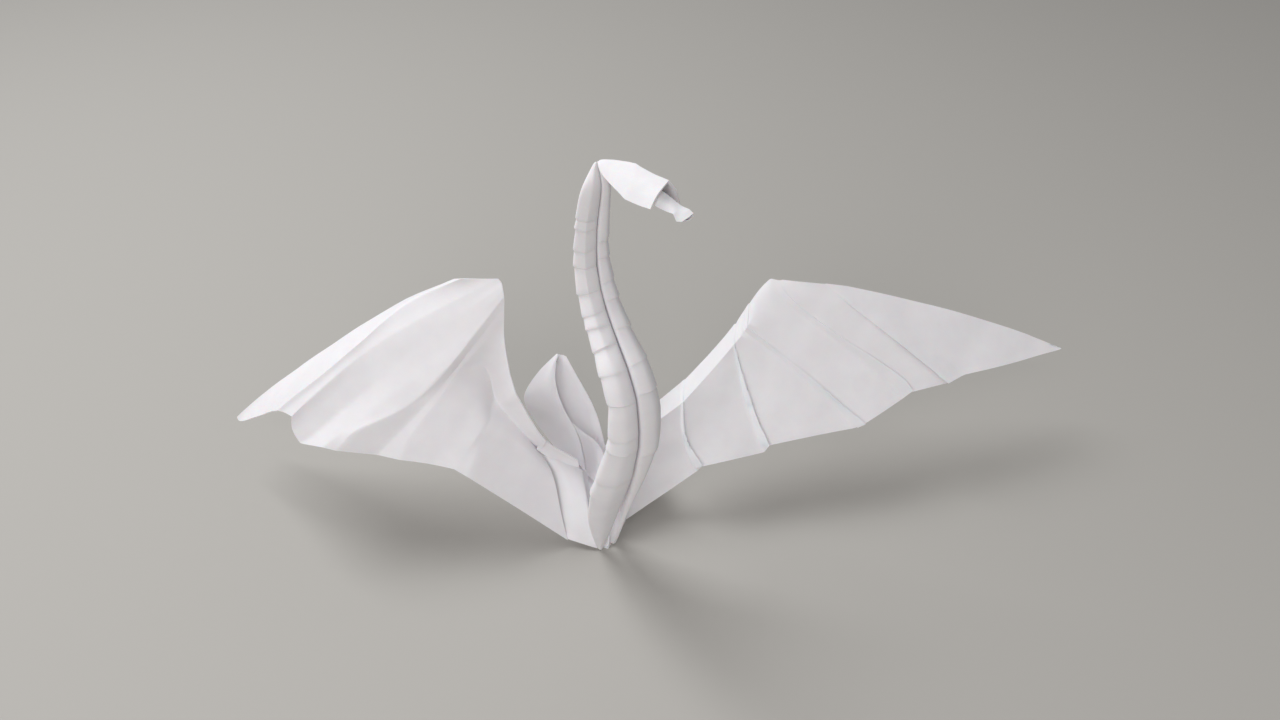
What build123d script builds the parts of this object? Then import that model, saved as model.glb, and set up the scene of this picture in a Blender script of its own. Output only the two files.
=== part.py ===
import os
from math import cos, radians, sin

from build123d import *

os.makedirs("parts", exist_ok=True)

# A swan folded from one square sheet of plain paper. It faces -Y, so its own left is +X.
# The front tip of the keel is the origin until the finished bird is centred at the end.

# Overall sizes (mm)
sheet_thickness = 0.5   # folded paper: its layers and the air between them
left_reach = 124        # keel to the tip of the left wing
right_reach = 95        # keel to the tip of the right wing, its last panel turned back
wing_depth = 40         # front of the keel to the rearmost wing edge
wing_rise = 65          # base to the wrists, the highest points of the wings
pleat_width = 4.5       # narrow facet between the two lines of a wing pleat
pleat_step = 2.4        # how far each pleat sets the sheet back
pleat_top_share = 0.33  # what is left of a pleat at the top edge, where it runs out
neck_height = 109
neck_swing = 18.5       # how far the neck bows forward
neck_width = 14         # both lobes where the neck is widest
neck_turn = 25          # degrees from -Y towards +X
body_length = 45
body_width = 22
floor_thickness = 0.8   # folded layers under the body
tail_height = 34
tail_width = 20
head_length = 12
head_height = 7.2
head_turn = 51          # degrees from -Y towards +X
head_pitch = 22         # degrees nose-down

# Fold lines of the left wing, body to tip. Each has its front end and its top end as shares
# of reach, depth and rise, then where the strip along the inner edge turns and how far it
# stands off as shares of the line, then the size of the pleat that starts there.
left_wing_shares = [
    ((0.195, 0.23, 0.27), (0.17, 0.60, 0.50), 0.80, 0.06, 0.55),
    ((0.325, 0.28, 0.31), (0.275, 0.80, 0.70), 0.80, 0.06, 0.6),
    ((0.51, 0.35, 0.365), (0.302, 0.84, 0.77), 0.88, 0.04, 0.95),
    ((0.576, 0.40, 0.425), (0.34, 0.81, 0.88), 0.6, 0.02, 0),
    ((0.605, 0.41, 0.465), (0.365, 0.81, 0.87), 0.5, 0.02, 1),
    ((0.70, 0.48, 0.50), (0.445, 0.85, 0.83), 0.5, 0.02, 1.35),
    ((0.855, 0.65, 0.485), (0.69, 0.88, 0.69), 0.5, 0.03, 0),
    ((0.94, 0.75, 0.46), (0.865, 0.88, 0.56), 0.5, 0.02, 0),
    ((0.98, 0.83, 0.43), (1.0, 0.86, 0.44), 0.5, 0.02, 0),
]

# The same for the right wing, whose last panel folds back behind the wrist
right_wing_shares = [
    ((0.325, 0.13, 0.375), (0.19, 0.43, 0.575), 0.83, -0.06, 0.6),
    ((0.49, 0.18, 0.47), (0.21, 0.60, 0.865), 0.6, 0.01, 0.9),
    ((0.718, 0.275, 0.52), (0.207, 0.65, 0.95), 0.5, 0.03, 0),
    ((0.728, 0.375, 0.585), (0.21, 0.69, 0.992), 0.5, 0.02, 0.4),
    ((0.776, 0.45, 0.57), (0.302, 0.725, 0.99), 0.5, 0.02, 0.7),
    ((0.86, 0.62, 0.46), (0.45, 0.83, 0.87), 0.5, 0.02, 0),
    ((0.99, 0.95, 0.225), (0.98, 1.0, 0.28), 0.5, 0.02, 0),
]

# Side walls of the body, front to rear: rim on the base and top edge of each line, as
# shares of body width, body length and wing rise
left_side_shares = [
    ((0.04, 0, 0), (0.14, 0.15, 0.30)),
    ((0.26, 0.18, 0), (0.75, 0.43, 0.51)),
    ((0.42, 0.45, 0), (0.58, 0.52, 0.26)),
    ((0.32, 0.76, 0), (0.30, 0.76, 0.12)),
    ((-0.14, 0.98, 0), (-0.18, 1.0, 0.12)),
]
right_side_shares = [
    ((0.04, 0, 0), (-0.16, 0.15, 0.33)),
    ((-0.42, 0.09, 0), (-0.57, 0.27, 0.43)),
    ((-0.59, 0.36, 0), (-0.58, 0.47, 0.25)),
    ((-0.55, 0.76, 0), (-0.48, 0.75, 0.18)),
    ((-0.14, 0.98, 0), (-0.18, 1.0, 0.12)),
]

# The folds between the sides, behind the neck: right end and left end of each line in the
# same shares, and how deep the valley between them is as a share of the line
saddle_shares = [
    ((-0.26, 0.13, 0.20), (0.15, 0.13, 0.18), 0.50),
    ((-0.59, 0.36, 0.19), (0.53, 0.36, 0.17), 0.40),
    ((-0.56, 0.62, 0.11), (0.43, 0.62, 0.09), 0.22),
]

# The neck, base to crown, one crimp in each row: how far forward and how high as shares of
# swing and height, then the right and the left lobe as shares of the neck's width
neck_shares = [
    (0.0, 0.0, 0.14, 0.12),
    (0.16, 0.07, 0.31, 0.20),
    (0.43, 0.19, 0.52, 0.15),
    (0.80, 0.34, 0.55, 0.26),
    (0.96, 0.43, 0.46, 0.34),
    (1.03, 0.51, 0.38, 0.41),
    (1.0, 0.58, 0.35, 0.45),
    (0.88, 0.635, 0.37, 0.43),
    (0.69, 0.67, 0.38, 0.43),
    (0.49, 0.71, 0.36, 0.38),
    (0.31, 0.745, 0.35, 0.35),
    (0.19, 0.785, 0.34, 0.31),
    (0.15, 0.835, 0.32, 0.26),
    (0.18, 0.89, 0.28, 0.21),
    (0.25, 0.945, 0.24, 0.18),
    (0.31, 1.0, 0.17, 0.15),
]
crimp_step = 1.2        # length of the step at each crimp
crimp_fullness = 0.94   # what the neck narrows to above each crimp
lobe_depth_share = 0.42   # front to back, of the width of both lobes
slit_share = 0.08         # mouth of the slit, of the width of both lobes
slit_floor_share = 0.6    # how deep the slit goes between the lobes, of their depth

# Half of the outline of a lobe: how far out of its width, how far back of its depth
lobe_shares = [
    (0.6, -0.1),
    (1.0, 0.4),
    (0.6, 0.9),
]
flat_share = 0.5        # where a line without a strip has its idle middle point

# The tail leaf, base to tip: height, set-back, then the right edge, the fold and the left edge
# as shares of the tail's width from the middle of the body
tail_shares = [
    (0.0, 0.62, -0.50, -0.15, 0.18),
    (0.35, 0.66, -0.86, -0.30, 0.04),
    (0.65, 0.72, -0.94, -0.44, -0.11),
    (0.85, 0.78, -0.72, -0.50, -0.26),
    (1.0, 0.82, -0.48, -0.45, -0.42),
]
tail_fold_share = 0.2   # how far the leaf's edges stand behind its fold

# The head, its hollow and the beak, back to front: place and drop as shares of head length
# and height, then width and height as shares of head height
head_shares = [
    (-0.10, -0.15, 0.40, 0.46),
    (0.45, -0.25, 0.66, 0.86),
    (1.0, -0.05, 0.75, 0.98),
]
hollow_shares = [
    (0.55, -0.2, 0.54, 0.72),
    (1.2, 0.0, 0.66, 0.88),
]
beak_shares = [
    (0.35, -0.2, 0.40, 0.60),
    (1.0, -0.02, 0.42, 0.55),
    (1.30, 0.20, 0.36, 0.42),
    (1.46, 0.34, 0.34, 0.26),
]


def scaled(shares, reach, depth, rise):
    return Vector(shares[0] * reach, shares[1] * depth, shares[2] * rise)


def panel_facing(first, second):
    """Unit normal of the panel between two fold lines, each a front and a top point"""
    return (second[1] - first[0]).cross(first[1] - second[0]).normalized()


def line_facings(lines):
    """Direction in which the sheet's thickness is laid at every fold line"""
    panels = [panel_facing(first, second) for first, second in zip(lines, lines[1:])]
    inner = [(first + second).normalized() for first, second in zip(panels, panels[1:])]
    return [panels[0]] + inner + [panels[-1]]


def folded_strip(lines, thickness):
    """A sheet folded along the given lines: one slim section on each, joined by flat panels"""
    half = thickness / 2
    with BuildPart() as strip:
        for line, facing in zip(lines, line_facings(lines)):
            front, top, knee_share, bow_share = line
            run = top - front
            length = run.length
            knee = knee_share * length
            bow = bow_share * length
            outline = [(0, half), (knee, bow + half), (length, half)]
            outline += [(length, -half), (knee, bow - half), (0, -half)]
            with BuildSketch(Plane(origin=front, x_dir=run, z_dir=run.cross(facing))):
                with BuildLine():
                    Polyline(*outline, close=True)
                make_face()
        loft(ruled=True)
    return strip.part


def pleated_wing(root_shares, shares, reach, side):
    """A wing sheet with its pleats. The side is 1 for +X and -1 for -X."""
    inset = Vector(side * sheet_thickness, 0, 0)
    root = [scaled(end, body_width, body_length, wing_rise) - inset for end in root_shares]
    lines = [(*root, shares[0][2], side * shares[0][3])]
    for front_shares, top_shares, knee_share, bow_share, pleat in shares:
        front = scaled(front_shares, side * reach, wing_depth, wing_rise)
        top = scaled(top_shares, side * reach, wing_depth, wing_rise)
        lines.append((front, top, knee_share, side * bow_share))
        if pleat:
            step = Vector(side * pleat * pleat_width, pleat_step, 0)
            lines.append((front + step, top + step * pleat_top_share, knee_share, side * bow_share))
    return folded_strip(lines, sheet_thickness)


def body_side(shares):
    """One side wall of the body, from the front of the keel to the rear"""
    lines = []
    for rim_shares, top_shares in shares:
        rim = scaled(rim_shares, body_width, body_length, wing_rise)
        top = scaled(top_shares, body_width, body_length, wing_rise)
        lines.append((rim, top, flat_share, 0))
    return folded_strip(lines, sheet_thickness)


def saddle():
    """The valley folded down between the sides of the body"""
    lines = []
    for right_shares, left_shares, valley in saddle_shares:
        right = scaled(right_shares, body_width, body_length, wing_rise)
        left = scaled(left_shares, body_width, body_length, wing_rise)
        lines.append((right, left, flat_share, -valley))
    return folded_strip(lines, sheet_thickness)


def body_floor():
    """The folded layers that the bird rests on, as wide as the rims of its side walls"""
    rims = [rim for rim, top in left_side_shares]
    rims += [rim for rim, top in reversed(right_side_shares[1:-1])]
    with BuildPart() as floor:
        with BuildSketch(Plane.XY):
            with BuildLine():
                Polyline(*[(x * body_width, y * body_length) for x, y, z in rims], close=True)
            make_face()
        extrude(amount=floor_thickness)
    return floor.part


def neck_section(spot, along, right_share, left_share, fullness):
    """Two rounded lobes, joined at the back and split down the front"""
    right = -right_share * neck_width * fullness
    left = left_share * neck_width * fullness
    depth = (left - right) * lobe_depth_share
    slit = (left - right) * slit_share / 2
    across = Vector(cos(radians(neck_turn)), sin(radians(neck_turn)), 0)
    outline = [(0, depth * slit_floor_share), (slit, 0)]
    outline += [(left * out, depth * back) for out, back in lobe_shares] + [(0, depth)]
    outline += [(right * out, depth * back) for out, back in reversed(lobe_shares)] + [(-slit, 0)]
    with BuildSketch(Plane(origin=spot, x_dir=across, z_dir=along)) as section:
        with BuildLine():
            Polyline(*outline, close=True)
        make_face()
    return section.sketch


def crimped_neck():
    """The neck flap, bent a little at every crimp so that it curves"""
    forward = Vector(sin(radians(neck_turn)), -cos(radians(neck_turn)), 0)
    spots = [forward * (swing * neck_swing) + Vector(0, 0, height * neck_height)
             for swing, height, right, left in neck_shares]
    sections = [neck_section(spots[0], spots[1] - spots[0], *neck_shares[0][2:], 1)]
    for below, spot, above, row in zip(spots, spots[1:], spots[2:], neck_shares[1:]):
        along = (above - below).normalized()
        step = along * (crimp_step / 2)
        sections.append(neck_section(spot - step, along, *row[2:], 1))
        sections.append(neck_section(spot + step, along, *row[2:], crimp_fullness))
    sections.append(neck_section(spots[-1], spots[-1] - spots[-2], *neck_shares[-1][2:], 1))
    with BuildPart() as neck:
        loft(sections, ruled=True)
    return neck.part


def head_place(along, drop):
    """A plane across the head's axis, which starts over the top of the neck"""
    ahead = Vector(sin(radians(head_turn)), -cos(radians(head_turn)), 0)
    crown = Vector(sin(radians(neck_turn)), -cos(radians(neck_turn)), 0) * neck_swing
    rise = Vector(0, 0, neck_height - drop)
    nose = ahead * cos(radians(head_pitch)) - Vector(0, 0, sin(radians(head_pitch)))
    origin = crown * neck_shares[-1][0] + ahead * along + rise
    return Plane(origin=origin, z_dir=nose, x_dir=(ahead.Y, -ahead.X, 0))


def kite_loft(shares):
    """Kites along the head's axis, joined by flat facets"""
    with BuildPart() as kite:
        for along, drop, width, height in shares:
            half = width * head_height / 2
            ridge = height * head_height / 2
            with BuildSketch(head_place(along * head_length, drop * head_height)):
                with BuildLine():
                    Polyline((half, 0), (0, ridge), (-half, 0), (0, -ridge), close=True)
                make_face()
        loft(ruled=True)
    return kite.part


def head():
    """A wedge folded over the neck's end, open at the front where the beak comes out"""
    with BuildPart() as hood:
        add(kite_loft(head_shares))
        add(kite_loft(hollow_shares), mode=Mode.SUBTRACT)
    return hood.part


def tail():
    """A leaf folded along its middle, leaning back over the end of the body"""
    half = sheet_thickness / 2
    with BuildPart() as leaf:
        for height, set_back, right_share, fold_share, left_share in tail_shares:
            right, fold, left = [share * tail_width for share in (right_share, fold_share, left_share)]
            rear = (left - right) * tail_fold_share
            outline = [(right, rear - half), (fold, -half), (left, rear - half)]
            outline += [(left, rear + half), (fold, half), (right, rear + half)]
            with BuildSketch(Plane((0, set_back * body_length, height * tail_height))):
                with BuildLine():
                    Polyline(*outline, close=True)
                make_face()
        loft(ruled=True)
    return leaf.part


with BuildPart() as folded_sheet:
    add(body_floor())
    add(body_side(left_side_shares))
    add(body_side(right_side_shares))
    add(saddle())
    add(pleated_wing(left_side_shares[1], left_wing_shares, left_reach, 1))
    add(pleated_wing(right_side_shares[1], right_wing_shares, right_reach, -1))
    add(crimped_neck())
    add(head())
    add(kite_loft(beak_shares))
    add(tail())
    split(bisect_by=Plane.XY, keep=Keep.TOP)

# The finished bird stands on z = 0 with the middle of its outline on the origin
reach = folded_sheet.part.bounding_box()
folded_sheet.part.position -= (reach.center().X, reach.center().Y, reach.min.Z)

folded_sheet.part.label = "folded_sheet"
export_step(folded_sheet.part, "parts/folded_sheet.step")
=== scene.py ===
from math import cos, radians, sin

import bmesh
import bpy
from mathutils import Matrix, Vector, noise


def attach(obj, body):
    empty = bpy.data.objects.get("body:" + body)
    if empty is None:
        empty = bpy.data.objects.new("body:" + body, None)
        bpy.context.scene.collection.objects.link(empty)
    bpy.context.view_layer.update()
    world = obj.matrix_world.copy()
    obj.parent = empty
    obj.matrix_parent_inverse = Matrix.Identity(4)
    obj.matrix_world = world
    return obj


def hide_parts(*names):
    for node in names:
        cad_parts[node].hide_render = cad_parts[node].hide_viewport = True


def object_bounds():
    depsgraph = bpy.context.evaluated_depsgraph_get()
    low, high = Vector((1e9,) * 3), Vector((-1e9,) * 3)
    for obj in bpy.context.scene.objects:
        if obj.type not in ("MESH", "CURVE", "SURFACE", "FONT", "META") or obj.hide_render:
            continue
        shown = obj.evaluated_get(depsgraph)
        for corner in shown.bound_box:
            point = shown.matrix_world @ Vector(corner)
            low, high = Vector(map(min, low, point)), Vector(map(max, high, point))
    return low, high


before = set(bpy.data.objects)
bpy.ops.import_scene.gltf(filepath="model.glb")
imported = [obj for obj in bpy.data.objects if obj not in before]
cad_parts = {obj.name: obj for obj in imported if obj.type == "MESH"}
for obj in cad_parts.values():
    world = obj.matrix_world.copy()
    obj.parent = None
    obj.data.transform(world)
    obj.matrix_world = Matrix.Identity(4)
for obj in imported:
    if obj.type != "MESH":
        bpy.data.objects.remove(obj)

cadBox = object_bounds()

# The frame gives the size. Places and widths below are in millimetres, places from the front
# tip of the keel: x to the bird's left, y to its rear, z up.
drawing = {"span": 218.3, "keelX": -14.87, "keelY": -13.08}
mm = (cadBox[1].x - cadBox[0].x) / drawing["span"]
keel = Vector((drawing["keelX"], drawing["keelY"], 0)) * mm


def place(x, y, z):
    return keel + Vector((x, y, z)) * mm


def places(points):
    return [place(*point) for point in points]


def mixed(first, second, share):
    return first + (second - first) * share


def alongPoints(points, share):
    # a smooth curve through the points (Catmull and Rom's), read at a share of its length
    spot = share * (len(points) - 1)
    start = min(int(spot), len(points) - 2)
    t = spot - start
    near, far = points[start], points[start + 1]
    before = points[start - 1] if start else near * 2 - far
    after = points[start + 2] if start + 2 < len(points) else far * 2 - near
    a = (far - before) * t
    b = (before * 2 - near * 5 + far * 4 - after) * t ** 2
    c = (near * 3 - before - far * 3 + after) * t ** 3
    return near + (a + b + c) / 2


# Modelling helpers

def deselectAll():
    bpy.ops.object.select_all(action="DESELECT")


def makeActive(piece):
    deselectAll()
    piece.select_set(True)
    bpy.context.view_layer.objects.active = piece


def pickVerts(piece, indices):
    bpy.ops.mesh.select_all(action="DESELECT")
    mesh = bmesh.from_edit_mesh(piece.data)
    mesh.verts.ensure_lookup_table()
    for index in indices:
        mesh.verts[index].select_set(True)
    mesh.select_flush_mode()
    return mesh


def moveVerts(piece, indices, points):
    # one corner at a time is pulled to its place
    for index, point in zip(indices, points):
        mesh = pickVerts(piece, [index])
        bpy.ops.transform.translate(value=point - mesh.verts[index].co)


def extrudeTo(piece, indices, points):
    # the last line is pulled out of the sheet and laid along the next fold; the small rise in
    # its first step keeps the new corners apart from the old ones
    mesh = pickVerts(piece, indices)
    old = [mesh.verts[index].co.copy() for index in indices]
    step = points[0] - old[0] + Vector((0, 0, mm / 100))
    bpy.ops.mesh.extrude_region_move(TRANSFORM_OT_translate={"value": step})
    mesh = bmesh.from_edit_mesh(piece.data)
    mesh.verts.ensure_lookup_table()
    new = [vert for vert in mesh.verts if vert.select]
    found = [min(new, key=lambda vert: (vert.co - spot - step).length).index for spot in old]
    moveVerts(piece, found, points)
    return found


def paperStrip(name, lines):
    # a grid one cell wide is laid on the first two lines, the rest is extruded line by line
    deselectAll()
    rows = len(lines[0])
    bpy.ops.mesh.primitive_grid_add(x_subdivisions=1, y_subdivisions=rows - 1, size=10 * mm)
    piece = bpy.context.object
    piece.name = name
    bpy.ops.object.mode_set(mode="EDIT")
    bpy.ops.mesh.select_mode(type="VERT")
    grid = [list(range(0, 2 * rows, 2)), list(range(1, 2 * rows, 2))]
    moveVerts(piece, grid[0], lines[0])
    moveVerts(piece, grid[1], lines[1])
    for points in lines[2:]:
        grid.append(extrudeTo(piece, grid[-1], points))
    return piece, grid


def paperTube(name, rings):
    # a circle is laid on the first ring, the rest is extruded ring by ring, the ends are filled
    deselectAll()
    bpy.ops.mesh.primitive_circle_add(vertices=len(rings[0]), radius=mm, fill_type="NGON")
    piece = bpy.context.object
    piece.name = name
    bpy.ops.object.mode_set(mode="EDIT")
    bpy.ops.mesh.select_mode(type="VERT")
    grid = [list(range(len(rings[0])))]
    moveVerts(piece, grid[0], rings[0])
    for points in rings[1:]:
        grid.append(extrudeTo(piece, grid[-1], points))
    return piece, grid


def around(ring):
    return list(zip(ring, ring[1:] + ring[:1]))


def creaseEdges(piece, pairs, crispness):
    # the edges between the paired corners are picked together and sharpened
    wanted = {frozenset(pair) for pair in pairs}
    bpy.ops.mesh.select_all(action="DESELECT")
    mesh = bmesh.from_edit_mesh(piece.data)
    for edge in mesh.edges:
        if frozenset(vert.index for vert in edge.verts) in wanted:
            edge.select_set(True)
    bpy.ops.transform.edge_crease(value=crispness)


def creaseLines(piece, grid, crispness):
    # crispness at the start and at the end of each line
    for line, (start, end) in zip(grid, crispness):
        count = len(line) - 2
        for row, pair in enumerate(zip(line, line[1:])):
            value = mixed(start, end, row / count)
            if value > 0.02:
                creaseEdges(piece, [pair], value)


def creaseEvenly(piece, grid, crispness):
    creaseLines(piece, grid, [(value, value) for value in crispness])


def creaseRow(piece, grid, row, crispness):
    line = [column[row] for column in grid]
    creaseEdges(piece, list(zip(line, line[1:])), crispness)


def modifier(piece, kind, **settings):
    makeActive(piece)
    bpy.ops.object.modifier_add(type=kind)
    added = piece.modifiers[-1]
    for name, value in settings.items():
        setattr(added, name, value)
    bpy.ops.object.modifier_apply(modifier=added.name)


def outward(piece):
    bpy.ops.object.mode_set(mode="EDIT")
    bpy.ops.mesh.select_all(action="SELECT")
    bpy.ops.mesh.remove_doubles(threshold=mm / 200)
    bpy.ops.mesh.normals_make_consistent(inside=False)
    bpy.ops.object.mode_set(mode="OBJECT")


def crumple(piece, height, width, seed):
    # paper is never quite flat: low, wide swells and finer ones of a third of their width
    far = Vector((seed * 7.3, seed * 3.1, seed * 5.7))
    for vert in piece.data.vertices:
        spot = vert.co / (width * mm) + far
        swell = noise.noise(spot) + noise.noise(spot * 3) / 3
        vert.co += vert.normal * (swell * height * mm)


sheet = {
    "thickness": 0.24,      # two or three layers of copy paper pressed together
    "foldAngle": 28,        # degrees, a sharper bend is shaded as a fold
    # height and width of the swells in the paper, by what it is folded into
    "swells": {"wing": (0.2, 9), "layer": (0.22, 9), "wall": (0.15, 9), "lobe": (0.1, 7),
               "hood": (0.1, 3)},
}


def shadeFolds(piece):
    makeActive(piece)
    bpy.ops.object.shade_smooth_by_angle(angle=radians(sheet["foldAngle"]))


def finishSheet(piece, thickness, levels, kind, seed):
    bpy.ops.object.mode_set(mode="OBJECT")
    outward(piece)
    modifier(piece, "SUBSURF", levels=levels, render_levels=levels,
             boundary_smooth="PRESERVE_CORNERS")
    crumple(piece, *sheet["swells"][kind], seed)
    modifier(piece, "SOLIDIFY", thickness=thickness * mm, offset=0, use_even_offset=False)
    shadeFolds(piece)
    return piece


# The wings: each line runs over the sheet from its front edge to its top edge

leftWing = {
    "side": 1,
    "lines": [
        ("plain", [(5.2, 8.1, 0.3), (8.4, 9.6, 9.5), (11.0, 11.8, 17.4),
                  (12.2, 13.2, 22.4), (13.3, 15.5, 27.7), (13.1, 19.0, 30.1)]),
        ("ghost", [(24.0, 9.2, 16.8), (22.8, 10.6, 18.8), (21.5, 12.8, 22.0),
                  (20.2, 14.8, 25.3), (20.6, 18.9, 30.7), (21.4, 25.0, 32.3)]),
        ("over", [(25.2, 9.5, 18.5), (24.0, 10.8, 20.1), (22.5, 12.7, 22.2),
                  (20.9, 15.0, 25.4), (21.3, 19.2, 31.2), (22.1, 25.4, 32.7)]),
        ("plain", [(32.7, 10.4, 18.9), (32.4, 12.4, 21.7), (30.7, 20.2, 31.8),
                  (29.9, 22.4, 34.9), (29.1, 24.2, 36.8), (29.4, 29.6, 37.4)]),
        ("ghost", [(41.0, 11.4, 19.6), (39.7, 12.7, 21.6), (36.4, 19.8, 31.6),
                  (35.0, 24.4, 37.3), (34.1, 27.0, 41.6), (34.8, 31.8, 43.8)]),
        ("over", [(42.1, 12.2, 21.4), (41.3, 13.1, 22.7), (37.5, 20.0, 31.7),
                  (35.8, 24.4, 37.2), (34.5, 27.3, 42.0), (35.2, 32.0, 44.3)]),
        ("plain", [(52.8, 12.8, 23.0), (51.1, 14.0, 24.8), (46.4, 18.4, 30.9),
                  (41.0, 23.6, 37.6), (36.2, 28.2, 43.5), (36.5, 32.7, 45.9)]),
        ("ghost", [(63.3, 14.2, 23.2), (62.0, 15.2, 24.7), (58.8, 17.6, 28.2),
                  (49.5, 23.0, 36.1), (37.2, 29.2, 44.2), (38.0, 33.9, 47.5)]),
        ("over", [(66.5, 14.9, 23.8), (64.7, 15.9, 25.1), (61.2, 17.8, 27.9),
                  (51.3, 23.2, 35.8), (37.8, 29.6, 45.1), (38.7, 34.4, 48.5)]),
        ("plain", [(72.0, 17.0, 26.0), (70.0, 18.5, 28.1), (65.7, 21.0, 31.6),
                  (56.4, 26.6, 39.6), (40.5, 32.5, 48.3), (41.6, 36.7, 51.1)]),
        ("ghost", [(77.0, 18.9, 28.0), (75.0, 20.1, 29.6), (71.0, 22.4, 32.9),
                  (60.8, 27.7, 40.6), (44.1, 34.8, 51.2), (44.4, 37.7, 53.4)]),
        ("fading", [(79.2, 20.2, 29.4), (77.2, 21.9, 31.8), (73.1, 23.8, 34.6),
                  (62.6, 27.8, 40.6), (46.6, 34.6, 50.9), (46.7, 37.0, 53.1)]),
        ("plain", [(83.7, 20.3, 30.0), (81.6, 22.1, 33.0), (77.3, 24.5, 36.6),
                  (67.5, 29.0, 43.2), (58.6, 33.2, 49.6), (52.3, 35.8, 53.2)]),
        ("under", [(88.0, 20.5, 30.8), (85.9, 21.5, 32.3), (82.1, 23.3, 35.0),
                  (72.0, 28.2, 42.4), (63.0, 32.3, 48.5), (57.6, 35.2, 52.9)]),
        ("ghost", [(93.3, 22.5, 31.5), (91.1, 23.9, 33.3), (86.8, 26.2, 36.7),
                  (76.5, 30.6, 43.5), (68.4, 33.4, 48.3), (62.8, 35.4, 51.7)]),
        ("plain", [(106.2, 26.0, 30.7), (104.1, 27.2, 32.4), (99.8, 29.0, 35.2),
                  (91.9, 32.4, 40.6), (83.8, 34.2, 44.6), (78.5, 35.1, 47.0)]),
        ("plain", [(116.1, 29.5, 30.2), (114.4, 30.2, 31.3), (111.6, 31.0, 32.9),
                  (106.0, 32.2, 35.7), (100.6, 33.1, 38.2), (97.7, 34.5, 40.3)]),
        ("plain", [(122.1, 31.4, 29.7), (121.9, 31.5, 29.8), (121.1, 31.8, 30.3),
                  (118.2, 32.4, 31.8), (115.3, 32.7, 33.0), (112.4, 33.4, 34.6)]),
        ("plain", [(123.0, 31.8, 29.7), (123.0, 31.8, 29.7), (122.9, 31.9, 29.8),
                  (122.6, 31.9, 29.9), (122.2, 31.9, 30.1), (121.7, 32.0, 30.3)]),
    ],
    # creases across the lines: row, first and last line, crispness
    "bend": (4, 0, 12, 1),          # the strip along the inner edge
    "marks": [(1, 0, 6, 0.35), (2, 2, 8, 0.3)],
}

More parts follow.
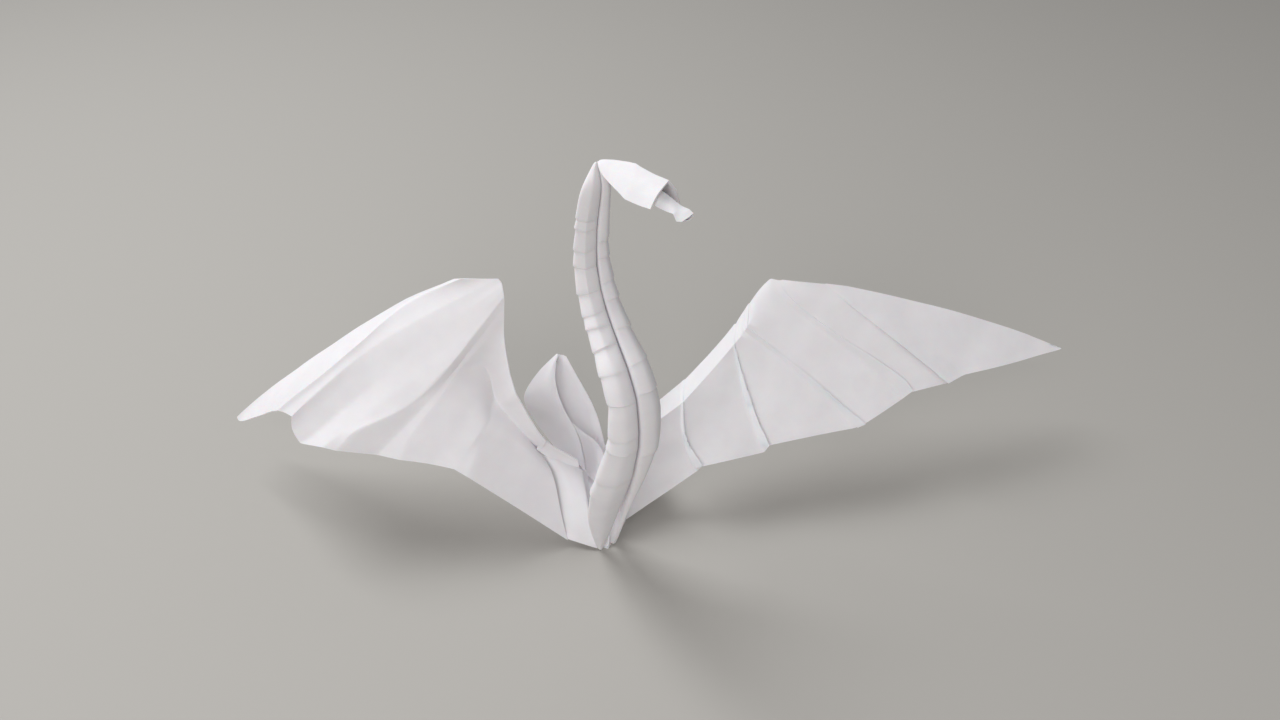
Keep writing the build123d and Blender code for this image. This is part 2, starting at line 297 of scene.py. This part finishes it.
rightWing = {
    "side": -1,
    "lines": [
        ("plain", [(-8.9, 2.2, 2.2), (-10.1, 5.0, 8.7), (-10.8, 8.6, 15.9),
                  (-12.0, 11.0, 20.0), (-14.2, 14.9, 21.3), (-12.3, 11.9, 28.1)]),
        ("plain", [(-20.2, 3.9, 13.8), (-19.0, 7.7, 19.6), (-17.8, 11.7, 25.6),
                  (-17.5, 12.5, 26.7), (-17.1, 15.2, 26.6), (-14.9, 13.5, 32.0)]),
        ("ghost", [(-30.8, 5.6, 24.2), (-28.4, 9.0, 28.4), (-26.6, 11.3, 31.0),
                  (-24.9, 13.4, 33.4), (-22.9, 17.9, 34.9), (-18.4, 16.3, 40.0)]),
        ("fold", [(-34.1, 7.7, 25.3), (-31.1, 9.9, 28.3), (-28.6, 11.8, 30.9),
                  (-25.7, 14.4, 34.1), (-24.1, 19.5, 36.5), (-19.4, 18.5, 44.1)]),
        ("plain", [(-39.9, 7.9, 27.6), (-37.9, 9.4, 29.6), (-35.9, 10.8, 31.3),
                  (-30.0, 17.2, 40.4), (-24.7, 22.7, 46.1), (-20.2, 22.0, 52.0)]),
        ("ghost", [(-46.2, 7.8, 29.4), (-44.9, 9.2, 31.5), (-43.0, 11.2, 34.3),
                  (-35.9, 16.0, 40.3), (-30.8, 20.1, 45.8), (-19.8, 23.6, 55.9)]),
        ("fold", [(-51.5, 10.1, 29.6), (-49.2, 11.1, 31.4), (-45.7, 12.9, 34.1),
                  (-37.6, 16.7, 40.3), (-32.0, 20.3, 45.4), (-19.4, 24.6, 59.7)]),
        ("fold", [(-60.2, 9.7, 32.3), (-57.8, 10.7, 33.8), (-55.9, 12.0, 36.3),
                  (-44.1, 14.8, 38.3), (-35.5, 18.5, 43.9), (-19.2, 25.2, 62.0)]),
        ("fold", [(-62.8, 10.1, 32.9), (-59.8, 11.5, 34.5), (-56.5, 12.9, 36.2),
                  (-49.8, 15.7, 39.5), (-38.7, 20.8, 45.6), (-19.3, 25.8, 63.3)]),
        ("ghost", [(-68.2, 10.9, 33.7), (-65.4, 11.8, 34.9), (-61.1, 14.1, 37.5),
                  (-54.0, 17.5, 41.6), (-42.5, 23.1, 48.1), (-19.4, 26.4, 64.2)]),
        ("plain", [(-70.1, 13.2, 36.3), (-67.1, 14.7, 38.1), (-63.1, 16.6, 40.4),
                  (-56.0, 19.8, 44.1), (-44.2, 25.0, 50.3), (-19.6, 27.0, 64.8)]),
        ("fold", [(-69.4, 15.1, 38.6), (-66.9, 16.6, 40.3), (-63.4, 18.4, 42.4),
                  (-55.3, 22.6, 47.4), (-44.7, 26.9, 52.5), (-20.3, 27.4, 65.3)]),
        ("plain", [(-71.2, 15.6, 39.6), (-68.3, 17.1, 41.3), (-63.2, 19.3, 43.8),
                  (-53.7, 24.2, 49.5), (-43.3, 29.1, 55.1), (-24.1, 28.2, 64.9)]),
        ("ridge", [(-72.4, 15.7, 39.9), (-69.4, 17.3, 41.8), (-63.0, 20.1, 44.9),
                  (-52.0, 25.7, 51.4), (-41.8, 31.1, 57.8), (-28.6, 28.9, 64.7)]),
        ("plain", [(-79.9, 25.0, 30.4), (-74.9, 25.5, 34.7), (-66.4, 26.5, 41.5),
                  (-52.4, 28.8, 51.2), (-41.9, 31.0, 58.0), (-29.3, 29.4, 64.4)]),
        ("plain", [(-92.8, 36.5, 15.9), (-83.4, 33.0, 26.7), (-69.1, 31.0, 39.6),
                  (-52.9, 31.4, 50.6), (-42.3, 32.4, 57.1), (-30.1, 30.0, 64.0)]),
        ("plain", [(-93.5, 38.2, 16.9), (-85.5, 34.8, 26.1), (-70.5, 32.6, 38.6),
                  (-53.1, 32.6, 50.6), (-42.6, 33.2, 56.6), (-30.8, 30.6, 63.4)]),
    ],
    "bend": (4, 0, 6, 0.9),
    "marks": [(2, 1, 4, 0.4), (3, 3, 6, 0.3)],
}

# what every kind of fold is like: its crispness at the front edge and at the top edge, and how
# far it stands out
foldKinds = {
    "plain": (0, 0, 0),
    "ghost": (0.9, 0.5, -0.5),      # the back of a pleat pressed through
    "fold": (1, 0.8, 0.8),
    "ridge": (1, 1, 0.1),
    "fading": (1, 0, 0.7),          # a pleat that is lost in the paper before the top edge
    "over": (1, 0.3, 0.7),          # a pleat's edge, the sheet goes on underneath it
    "under": (1, 0.6, 0.7),         # a pleat's edge lying on the panel before it
    "hidden": (1, 0.6, 0),
}

pleat = {
    "tuck": 1.8,                    # how far the hidden fold lies behind the edge
    "beside": 0.5,                  # how far beside it where the pleat has run out
    "drop": 1.2,                    # how far it lies below the edge
    "depths": [1, 0.95, 0.85, 0.5, 0.15, 0],    # how deep the pleat is, row by row
}


def hiddenFold(line, across, facing):
    # below the top panel near the front, level with it where the pleat runs out
    points = []
    for point, share in zip(line, pleat["depths"]):
        behind = pleat["beside"] - (pleat["beside"] + pleat["tuck"]) * share
        points.append(point + across * behind * mm - facing * pleat["drop"] * share * mm)
    return points


def wingLines(wing):
    lines, crisp = [], []
    rows = [places(points) for kind, points in wing["lines"]]
    for number, (kind, points) in enumerate(wing["lines"]):
        last, after = rows[max(number - 1, 0)], rows[min(number + 1, len(rows) - 1)]
        across = (after[1] - last[1]).normalized()
        facing = (across.cross(rows[number][4] - rows[number][0]) * wing["side"]).normalized()
        front, top, lift = foldKinds[kind]
        line = [point + facing * lift * share * mm
                for point, share in zip(rows[number], pleat["depths"])]
        if kind == "under":
            lines.append(hiddenFold(line, -across, facing))
            crisp.append(foldKinds["hidden"][:2])
        lines.append(line)
        crisp.append((front, top))
        if kind in ("over", "fading"):
            lines.append(hiddenFold(line, across, facing))
            crisp.append(foldKinds["hidden"][:2])
    return lines, crisp


def makeWing(name, wing, seed):
    lines, crisp = wingLines(wing)
    piece, grid = paperStrip(name, lines)
    creaseLines(piece, grid, crisp)
    for row, first, last, crispness in [wing["bend"]] + wing["marks"]:
        creaseRow(piece, grid[first:last + 1], row, crispness)
    return finishSheet(piece, sheet["thickness"], 3, "wing", seed)


pieces = [makeWing("left_wing", leftWing, 1), makeWing("right_wing", rightWing, 2)]
print("wings folded")

# The neck: two lobes side by side with a slit between them

neck = {
    "turn": 25,             # degrees from straight ahead towards the bird's left
    # forward and height of the slit, the widths of the right and left lobe, how far the slit gapes
    "stations": [
        (-0.4, 0.3, 1.5, 4.3, 2.3), (4.4, 12.1, 4.6, 3.4, 1.8), (8.2, 22.6, 7.2, 2.9, 1.1),
        (12.4, 33.8, 8.6, 3.8, 0.5), (16.6, 47.3, 7.4, 5.4, 0.25), (18.0, 55.8, 6.1, 6.2, 0.25),
        (17.7, 64.2, 5.5, 5.9, 0.2), (15.7, 69.6, 5.5, 5.4, 0.15), (12.6, 73.8, 5.4, 5.2, 0.1),
        (8.3, 77.9, 4.9, 4.4, 0.1), (5.3, 81.9, 4.7, 3.9, 0.05), (3.4, 85.7, 4.5, 3.7, 0.05),
        (2.6, 89.6, 4.3, 3.4, 0.05), (3.0, 95.6, 4.1, 2.9, 0.05), (4.0, 100.7, 4.0, 2.6, 0.05),
        (4.8, 104.1, 3.7, 2.5, 0.05), (5.6, 107.6, 3.3, 2.2, 0.0), (4.5, 109.8, 1.6, 1.3, 0.0),
        (4.0, 111.1, 0.5, 0.4, 0.0),
    ],
    "depth": 0.42,          # front to back, as a share of both lobes' width
    "crimpStep": 0.3,       # how far the paper above a crimp stands out
    "crimpHeight": 0.06,    # in stations
    "clear": 0.35,          # in stations, no plain ring is closer to a crimp
    "slant": 0.1,           # how far crimps run up or down round a lobe, as a share of its width
    "tilt": 0.03,           # how far their front leans out, as a share of the depth
    "slitCrisp": 0.5,
    "crimpCrisp": 0.9,
    # crimps as station numbers, counted from the keel
    "rightCrimps": [3.25, 3.7, 4.75, 5.3, 6.4, 7.6, 8.6, 9.2, 9.8, 10.7, 11.9, 12.6, 13.35, 13.8],
    "leftCrimps": [4.4, 6.6, 7.7, 9.0, 10.1, 10.9, 12.15, 12.75],
    # outline of a lobe from the slit round its outside: shares of its width and of the depth
    "lobe": [(0.025, -0.08), (0.10, 0.04), (0.36, 0.10), (0.62, 0.10), (0.95, -0.24), (1.0, -0.5),
             (0.86, -0.80), (0.45, -0.96), (0.0, -1.0), (0.0, -0.5)],
    # crispness of the fold down the front of the right lobe, from one station on
    "ridge": [(0, 0.2), (8, 0.45), (10, 0.9), (15, 0.4)],
}


def neckStation(number):
    rows = [Vector(row) for row in neck["stations"]]
    forward, height, right, left, gap = alongPoints(rows, number / (len(rows) - 1))
    turn = radians(neck["turn"])
    return place(sin(turn) * forward, -cos(turn) * forward, height), right * mm, left * mm, gap * mm


def lobeRing(number, side, shrink, slant, tilt):
    # the slit's own edge stays where it is, so the slit runs straight through the crimps
    spot, right, left, gap = neckStation(number)
    top = len(neck["stations"]) - 1
    along = (neckStation(min(number + 0.4, top))[0] - neckStation(max(number - 0.4, 0))[0]).normalized()
    turn = radians(neck["turn"])
    across = Vector((cos(turn), sin(turn), 0)) * side
    front = across.cross(along) * side
    front = front if front.y < 0 else -front
    width = left if side > 0 else right
    depth = (left + right) * neck["depth"]
    middle = spot + across * width / 2 - front * depth * 0.45
    gap = gap if side > 0 else 0
    ring = []
    for out, back in neck["lobe"]:
        lean = tilt * out if back > -0.3 else 0
        point = spot + across * mixed(gap, width, out) + front * (back + lean) * depth
        point += along * slant * out * width
        ring.append(mixed(point, middle, shrink * min(out * 3, 1)))
    return ring


def makeLobe(name, side, crimps, ridge, seed):
    # every crimp is two rings close together, the lower one smaller; the end at the keel is crisp
    plain = [number for number in range(len(neck["stations"]))
             if min(abs(number - crimp) for crimp in crimps) > neck["clear"]]
    rings, spots, sharp = [], [], [0]
    half = neck["crimpHeight"] / 2
    for order, number in enumerate(sorted(plain + crimps)):
        if number in plain:
            rings.append(lobeRing(number, side, 0, 0, 0))
            spots.append(number)
            continue
        # the turns of 2.3 and 1.7 give every crimp a slope of its own
        slant = neck["slant"] * sin(order * 2.3 + seed)
        tilt = neck["tilt"] * sin(order * 1.7 + seed)
        width = neckStation(number)[2 if side > 0 else 1]
        inward = neck["crimpStep"] * mm / width * 2
        rings += [lobeRing(number - half, side, inward, slant, tilt),
                  lobeRing(number + half, side, 0, slant, -tilt)]
        sharp += [len(rings) - 2, len(rings) - 1]
        spots += [number, number]
    piece, grid = paperTube(name, rings)
    for number, ring, above in zip(spots, grid, grid[1:]):
        creaseEdges(piece, [(ring[0], above[0])], neck["slitCrisp"])
        ridgeCrisp = [crispness for start, crispness in ridge if start <= number][-1]
        creaseEdges(piece, [(ring[3], above[3])], ridgeCrisp)
    for number in sharp:
        creaseEdges(piece, around(grid[number]), neck["crimpCrisp"])
    bpy.ops.object.mode_set(mode="OBJECT")
    outward(piece)
    modifier(piece, "SUBSURF", levels=2, render_levels=2)
    crumple(piece, *sheet["swells"]["lobe"], seed)
    shadeFolds(piece)
    return piece


pieces.append(makeLobe("right_lobe", -1, neck["rightCrimps"], neck["ridge"], 3))
pieces.append(makeLobe("left_lobe", 1, neck["leftCrimps"], [(0, 0.15)], 4))
print("neck crimped")

# The head, a hood folded over the end of the neck, and the beak inside it

head = {
    "wall": 0.4,
    "creases": {0: 1, 2: 1, 4: 1, 5: 0.3},      # crispness along the tube, by a point's number
    "sharpRings": [3],                          # rings with a crease across the tube
    "acrossCrisp": 0.8,
    # rings from the neck to the open end: ridge, near side, its lower edge, underside, far side
    "rings": [
        [(1.4, -4.6, 111.9), (1.4, -5.4, 112.0), (1.4, -6.0, 111.7), (1.7, -4.2, 110.9),
         (2.0, -4.0, 110.8), (1.8, -4.2, 111.3)],
        [(2.8, -5.6, 112.5), (2.7, -6.8, 111.6), (2.5, -7.7, 110.3), (3.1, -5.0, 109.4),
         (4.0, -4.6, 109.9), (3.6, -4.9, 111.4)],
        [(4.9, -7.0, 113.0), (4.5, -8.8, 111.7), (3.8, -9.8, 109.8), (4.3, -6.6, 108.4),
         (6.4, -5.8, 109.1), (5.6, -6.2, 111.6)],
        [(7.5, -9.8, 113.9), (6.7, -11.8, 111.9), (5.5, -12.8, 109.3), (6.1, -9.4, 107.9),
         (9.5, -8.2, 108.9), (8.4, -8.6, 112.0)],
        [(9.6, -11.8, 113.3), (8.6, -13.8, 111.6), (7.4, -14.6, 109.2), (7.9, -11.4, 108.1),
         (12.1, -9.8, 107.9), (11.0, -10.4, 111.1)],
        [(12.4, -13.4, 112.7), (10.3, -15.4, 111.6), (9.2, -16.4, 109.5), (9.5, -13.4, 108.7),
         (14.6, -12.0, 107.2), (13.9, -12.4, 110.3)],
    ],
}

beak = {
    "wall": 0.25,
    "creases": {0: 0.9, 2: 0.9, 3: 0.3},
    "sharpRings": [4, 5],
    "acrossCrisp": 0.8,
    # rings of a flattened tube from inside the head to its crushed, open end
    "rings": [
        [(10.3, -12.8, 111.6), (9.5, -14.2, 111.2), (9.0, -14.6, 110.4), (10.1, -13.2, 109.9),
         (10.8, -12.4, 110.4)],
        [(11.2, -13.3, 111.1), (10.4, -14.8, 110.7), (9.7, -15.3, 109.6), (10.9, -13.7, 108.9),
         (11.7, -12.8, 109.7)],
        [(12.2, -14.0, 110.4), (11.4, -15.5, 110.2), (10.8, -15.9, 109.2), (11.9, -14.4, 108.3),
         (12.8, -13.4, 109.1)],
        [(13.4, -14.9, 109.8), (12.5, -16.3, 109.7), (11.8, -16.6, 108.9), (12.9, -15.2, 108.0),
         (14.0, -14.2, 108.6)],
        [(14.3, -15.6, 109.4), (13.3, -17.0, 109.2), (12.6, -17.2, 109.0), (13.8, -15.9, 107.7),
         (14.9, -14.9, 108.1)],
        [(15.4, -16.3, 109.2), (14.2, -17.6, 108.8), (13.1, -17.9, 107.9), (14.7, -16.5, 107.2),
         (15.9, -15.6, 107.9)],
        [(16.0, -16.9, 108.8), (15.0, -17.8, 108.5), (13.9, -18.1, 108.0), (15.2, -17.0, 107.3),
         (16.2, -16.4, 107.7)],
    ],
}


def makeHood(name, shape, seed):
    # a tube with crisp folds along it, its far end is opened again
    piece, grid = paperTube(name, [places(ring) for ring in shape["rings"]])
    pickVerts(piece, grid[-1])
    bpy.ops.mesh.delete(type="ONLY_FACE")
    for ring, ahead in zip(grid, grid[1:]):
        for spot, crispness in shape["creases"].items():
            creaseEdges(piece, [(ring[spot], ahead[spot])], crispness)
    for number in shape["sharpRings"]:
        creaseEdges(piece, around(grid[number]), shape["acrossCrisp"])
    bpy.ops.object.mode_set(mode="OBJECT")
    outward(piece)
    modifier(piece, "SUBSURF", levels=3, render_levels=3, boundary_smooth="PRESERVE_CORNERS")
    crumple(piece, *sheet["swells"]["hood"], seed)
    modifier(piece, "SOLIDIFY", thickness=shape["wall"] * mm, offset=-1)
    shadeFolds(piece)
    return piece


pieces += [makeHood("head", head, 5), makeHood("beak", beak, 6)]
print("head folded")

# The tail, two leaves and the rolled cone between them, and the layered strips of the body

layers = {
    "nearLeaf": [
        [(-9.5, 27.0, 5.9), (-12.7, 30.1, 9.2), (-15.9, 32.8, 13.2), (-19.2, 36.0, 18.6),
         (-17.6, 37.6, 21.7), (-14.1, 39.6, 25.8), (-9.3, 41.7, 29.2)],
        [(-6.6, 25.0, 6.3), (-9.7, 28.8, 10.3), (-12.6, 31.7, 15.2), (-14.8, 34.7, 20.5),
         (-13.7, 36.7, 23.6), (-11.4, 39.1, 27.0), (-9.1, 41.6, 29.4)],
        [(-4.1, 22.6, 6.4), (-6.1, 26.5, 10.9), (-8.2, 29.7, 15.3), (-11.0, 33.5, 21.4),
         (-11.6, 36.2, 24.7), (-10.6, 38.8, 27.8), (-9.0, 41.5, 29.5)],
        [(-3.0, 19.0, 4.0), (-3.8, 24.1, 10.1), (-5.2, 28.1, 14.4), (-7.6, 30.8, 17.6),
         (-9.6, 34.1, 22.2), (-10.2, 37.5, 26.5), (-8.8, 41.4, 29.5)],
    ],
    "farLeaf": [
        [(-6.9, 27.0, 4.1), (-7.2, 29.0, 8.7), (-8.4, 31.6, 13.4), (-10.2, 34.2, 18.0),
         (-11.2, 37.0, 22.0), (-10.9, 39.7, 26.3), (-8.7, 42.0, 28.9)],
        [(-1.9, 27.0, 2.8), (-2.2, 28.6, 7.1), (-3.3, 30.8, 11.5), (-4.7, 33.8, 16.9),
         (-7.1, 37.0, 22.0), (-8.4, 39.9, 26.3), (-8.1, 42.1, 28.7)],
        [(0.8, 26.5, 3.9), (0.2, 28.6, 8.0), (-1.1, 31.3, 13.1), (-2.8, 34.7, 18.8),
         (-5.1, 37.7, 23.4), (-7.2, 40.4, 27.2), (-7.5, 42.1, 28.5)],
        [(2.8, 25.0, 6.2), (1.9, 27.9, 10.1), (0.8, 31.1, 15.0), (-1.0, 34.1, 19.3),
         (-3.1, 36.6, 22.7), (-5.2, 39.3, 26.0), (-6.7, 41.7, 28.2)],
    ],
    "cone": [
        [(-6.1, 27.6, 17.7), (-4.3, 26.6, 15.7), (-1.8, 25.9, 14.2), (0.4, 24.7, 12.5),
         (1.8, 22.7, 9.9), (1.8, 19.6, 6.4)],
        [(-5.1, 26.1, 16.2), (-3.5, 25.1, 14.5), (-1.6, 24.7, 12.3), (0.0, 24.0, 10.5),
         (0.9, 22.2, 8.7), (1.0, 19.2, 6.5)],
        [(-3.7, 23.2, 13.4), (-2.8, 22.9, 11.8), (-1.6, 22.9, 9.8), (-0.5, 22.6, 8.0),
         (0.1, 21.1, 7.3), (0.3, 18.8, 6.3)],
        [(-3.0, 19.0, 6.4), (-2.5, 19.0, 6.0), (-1.9, 18.6, 5.6), (-1.3, 18.0, 5.4),
         (-0.7, 17.6, 5.0), (-0.2, 17.4, 4.8)],
    ],
    "bodyStrip": [
        [(-13.9, 14.0, 21.2), (-12.3, 12.2, 17.5), (-11.3, 10.0, 14.3), (-10.7, 7.4, 10.1),
         (-10.1, 4.6, 5.3), (-8.8, 2.2, 2.6)],
        [(-10.5, 13.0, 20.3), (-8.9, 10.9, 17.9), (-8.1, 8.6, 15.3), (-7.5, 6.0, 11.5),
         (-6.8, 3.2, 6.7), (-5.7, 1.0, 2.2)],
        [(-7.2, 12.6, 18.6), (-6.2, 10.6, 16.9), (-5.5, 8.4, 14.9), (-5.0, 5.6, 11.7),
         (-4.5, 2.6, 6.8), (-3.4, 0.5, 1.4)],
        [(-4.3, 12.4, 16.5), (-4.1, 10.2, 15.2), (-3.8, 8.2, 13.8), (-3.4, 5.2, 11.6),
         (-2.9, 2.0, 5.8), (-1.7, 0.1, 0.9)],
        [(-3.3, 15.5, 12.4), (-3.0, 13.5, 10.9), (-2.7, 11.0, 10.3), (-2.7, 8.0, 8.1),
         (-2.4, 4.0, 3.2), (-1.3, 0.8, 0.1)],
    ],
    "rimEnd": [
        [(-15.0, 13.9, 23.6), (-14.3, 14.2, 25.2), (-13.0, 13.5, 28.3)],
        [(-12.1, 13.2, 20.6), (-11.6, 13.8, 22.1), (-10.9, 12.9, 25.1)],
        [(-9.8, 12.8, 19.4), (-9.6, 13.5, 20.7), (-9.3, 12.8, 23.7)],
        [(-7.1, 12.6, 18.5), (-7.2, 13.1, 19.9), (-7.2, 12.7, 22.1)],
        [(-5.0, 12.4, 17.6), (-5.0, 12.6, 18.6), (-5.2, 12.4, 20.2)],
    ],
    # crispness along each line of a layer
    "creases": {"nearLeaf": [0, 0.2, 0.3, 0], "farLeaf": [0, 0.3, 0.4, 0], "cone": [0, 0.3, 0, 0],
                "bodyStrip": [0, 0.3, 0, 0.9, 0], "rimEnd": [0, 0, 0, 0, 0]},
}


def makeLayer(name, seed):
    piece, grid = paperStrip(name, [places(line) for line in layers[name]])
    creaseEvenly(piece, grid, layers["creases"][name])
    return finishSheet(piece, sheet["thickness"], 3, "layer", seed)


pieces += [makeLayer(name, 7 + number) for number, name in enumerate(layers["creases"])]
print("tail and layers folded")

# The body: two side walls on a flat base with a valley between them

body = {
    # each fold of a side wall from its foot to its top
    "rightSide": [
        ((0.9, 0.4, 0), (-3.4, 8.0, 8.5)), ((-8.2, 4.1, 0), (-12.6, 13.0, 20.0)),
        ((-13.0, 16.2, 0), (-12.4, 20.6, 13.0)), ((-10.5, 31.5, 0), (-9.5, 31.5, 3.0)),
        ((-5.0, 42.0, 0), (-5.0, 42.0, 3.0)),
    ],
    "leftSide": [
        ((0.9, 0.4, 0), (3.1, 6.8, 15.0)), ((5.7, 8.1, 0), (12.6, 13.4, 21.0)),
        ((9.2, 20.2, 0), (10.6, 22.4, 11.0)), ((4.5, 31.0, 0), (4.5, 31.0, 2.0)),
        ((-5.0, 42.0, 0), (-5.0, 42.0, 1.5)),
    ],
    # right end, left end and depth of the valley as a share of the width between them
    "saddle": [
        ((-4.6, 7.4, 8.4), (3.6, 7.4, 10.4), 0.50), ((-12.6, 16.2, 10.6), (11.2, 16.2, 10.4), 0.35),
        ((-12.0, 27.9, 6.6), (9.0, 27.9, 5.6), 0.18),
    ],
    "creases": [0, 0.9, 0.7, 0.9, 0],
    "wall": 0.4,
    "saddleWall": 0.3,
    "base": 0.8,
    "rimBevel": 0.15,
}


def fivePoints(start, end):
    return [mixed(start, end, share / 4) for share in range(5)]


def makeBody():
    made = []
    for name, seed in (("rightSide", 12), ("leftSide", 13)):
        walls = [fivePoints(place(*foot), place(*top)) for foot, top in body[name]]
        piece, grid = paperStrip(name, walls)
        creaseEvenly(piece, grid, body["creases"])
        made.append(finishSheet(piece, body["wall"], 2, "wall", seed))
    saddleLines = []
    for right, left, valley in body["saddle"]:
        points = fivePoints(place(*right), place(*left))
        sag = (points[4] - points[0]).length * valley
        for point, share in zip(points, (0, 0.5, 1, 0.5, 0)):
            point.z -= sag * share
        saddleLines.append(points)
    piece, grid = paperStrip("saddle", saddleLines)
    creaseRow(piece, grid, 2, 1)
    made.append(finishSheet(piece, body["saddleWall"], 2, "wall", 14))
    return made


def makeBase():
    # the feet of both side walls are the outline, which is extruded up from the floor
    rims = [foot for foot, top in body["leftSide"] + body["rightSide"][-2:0:-1]]
    deselectAll()
    bpy.ops.mesh.primitive_circle_add(vertices=len(rims), radius=mm, fill_type="NGON")
    piece = bpy.context.object
    piece.name = "base"
    bpy.ops.object.mode_set(mode="EDIT")
    moveVerts(piece, range(len(rims)), places(rims))
    bpy.ops.mesh.select_all(action="SELECT")
    bpy.ops.mesh.extrude_region_move(TRANSFORM_OT_translate={"value": (0, 0, body["base"] * mm)})
    bpy.ops.object.mode_set(mode="OBJECT")
    outward(piece)
    modifier(piece, "BEVEL", width=body["rimBevel"] * mm, segments=2)
    return piece


pieces += makeBody() + [makeBase()]
print("body folded")

# Materials

paper = {
    "colour": "#EFEDEF",
    "shade": "#E6E3E7",
    "roughness": 0.88,
    "ior": 1.5,             # cellulose
    "specular": 0.3,
    "glow": 0.15,           # light that wanders through the sheet
    "glowDepth": 0.6,       # mm
    "fibre": 0.35,          # mm, length of one fibre's bump
    "cloud": 4.0,           # mm, width of one darker or lighter patch
    "tooth": 0.05,          # mm, height of the bumps
    "toothStrength": 0.25,
}


def linear(hexColour):
    parts = [int(hexColour[i:i + 2], 16) / 255 for i in (1, 3, 5)]
    return [p / 12.92 if p <= 0.04045 else ((p + 0.055) / 1.055) ** 2.4 for p in parts] + [1]


def addNode(tree, kind, settings=None, links=None):
    # settings are the node's own values or its sockets', links are sockets that feed it
    node = tree.nodes.new(kind)
    for name, value in (settings or {}).items():
        if name in node.inputs:
            node.inputs[name].default_value = value
        else:
            setattr(node, name, value)
    for name, source in (links or {}).items():
        tree.links.new(source, node.inputs[name])
    return node


def paperMaterial():
    # uncoated copy paper: a matt, faintly blue white, cloudy against the light, with a fine tooth
    material = bpy.data.materials.new("uncoated_copy_paper")
    material.use_nodes = True
    tree = material.node_tree
    tree.nodes.clear()
    spot = addNode(tree, "ShaderNodeTexCoord").outputs["Object"]
    cloud = addNode(tree, "ShaderNodeTexNoise", {"Scale": 1 / (paper["cloud"] * mm), "Detail": 4.0},
                    {"Vector": spot})
    fibre = addNode(tree, "ShaderNodeTexNoise", {"Scale": 1 / (paper["fibre"] * mm), "Detail": 3.0},
                    {"Vector": spot})
    tone = addNode(tree, "ShaderNodeMix", {"data_type": "RGBA"})
    tree.links.new(cloud.outputs["Fac"], tone.inputs[0])
    tone.inputs[6].default_value = linear(paper["colour"])
    tone.inputs[7].default_value = linear(paper["shade"])
    bump = addNode(tree, "ShaderNodeBump",
                   {"Strength": paper["toothStrength"], "Distance": paper["tooth"] * mm},
                   {"Height": fibre.outputs["Fac"]})
    shader = addNode(tree, "ShaderNodeBsdfPrincipled",
                     {"Roughness": paper["roughness"], "IOR": paper["ior"],
                      "Specular IOR Level": paper["specular"], "Subsurface Weight": paper["glow"],
                      "Subsurface Scale": paper["glowDepth"] * mm},
                     {"Normal": bump.outputs["Normal"]})
    tree.links.new(tone.outputs[2], shader.inputs["Base Color"])
    addNode(tree, "ShaderNodeOutputMaterial", {}, {"Surface": shader.outputs["BSDF"]})
    return material


def joinSheet(parts):
    deselectAll()
    for part in parts:
        part.select_set(True)
    bpy.context.view_layer.objects.active = parts[0]
    bpy.ops.object.join()
    whole = bpy.context.object
    whole.name = "folded_paper"
    bpy.ops.object.transform_apply(location=True, rotation=True, scale=True)
    whole.data.materials.clear()
    whole.data.materials.append(paperMaterial())
    return whole


swan = joinSheet(pieces)
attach(swan, "root")
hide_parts("folded_sheet")
print("one sheet,", sum(len(face.vertices) - 2 for face in swan.data.polygons), "triangles")

# Floor, light and camera

studio = {
    "floor": "#B2AFAA",
    "floorRoughness": 0.8,
    "floorSize": 8,         # metres, as the places and sizes of the lamps
    "world": 0.34,
    # the key light comes from behind on the left, so that every fold has a bright and a dark side
    "key_light": {"spot": (-0.34, 0.20, 0.64), "size": 0.35, "power": 3.2,
                  "colour": (0.97, 0.985, 1.0)},
    "fill_light": {"spot": (-0.24, -0.62, 0.44), "size": 0.6, "power": 2.5,
                   "colour": (1.0, 0.98, 0.97)},
}


def plainMaterial(name, colour, roughness):
    material = bpy.data.materials.new(name)
    material.use_nodes = True
    shader = material.node_tree.nodes["Principled BSDF"]
    shader.inputs["Base Color"].default_value = linear(colour)
    shader.inputs["Roughness"].default_value = roughness
    return material


deselectAll()
bpy.ops.mesh.primitive_plane_add(size=studio["floorSize"], location=(0, 0, 0))
floor = bpy.context.object
floor.name = "floor"
floor.data.materials.append(plainMaterial("matt_table_top", studio["floor"], studio["floorRoughness"]))


def areaLight(name):
    lamp = studio[name]
    bpy.ops.object.light_add(type="AREA", location=lamp["spot"])
    light = bpy.context.object
    light.name = name
    light.data.size = lamp["size"]
    light.data.energy = lamp["power"]
    light.data.color = lamp["colour"]
    light.rotation_euler = (-Vector(lamp["spot"])).to_track_quat("-Z", "Y").to_euler()


areaLight("key_light")
areaLight("fill_light")

world = bpy.data.worlds.new("studio")
world.use_nodes = True
world.node_tree.nodes["Background"].inputs["Color"].default_value = (1, 1, 1, 1)
world.node_tree.nodes["Background"].inputs["Strength"].default_value = studio["world"]
bpy.context.scene.world = world

# the photo's camera: its place in millimetres from the middle of the frame, degrees, and the lens
view = {"x": -17.71, "y": -148.77, "z": 185.85, "tilt": 48, "turn": -5, "lens": 25.3125}
bpy.ops.object.camera_add(location=Vector((view["x"], view["y"], view["z"])) * mm,
                          rotation=(radians(view["tilt"]), 0, radians(view["turn"])))
camera = bpy.context.object
camera.data.lens = view["lens"]
camera.data.sensor_width = 36
camera.data.clip_start = 0.01
bpy.context.scene.camera = camera
bpy.context.scene.view_settings.view_transform = "Standard"
print("studio lit")
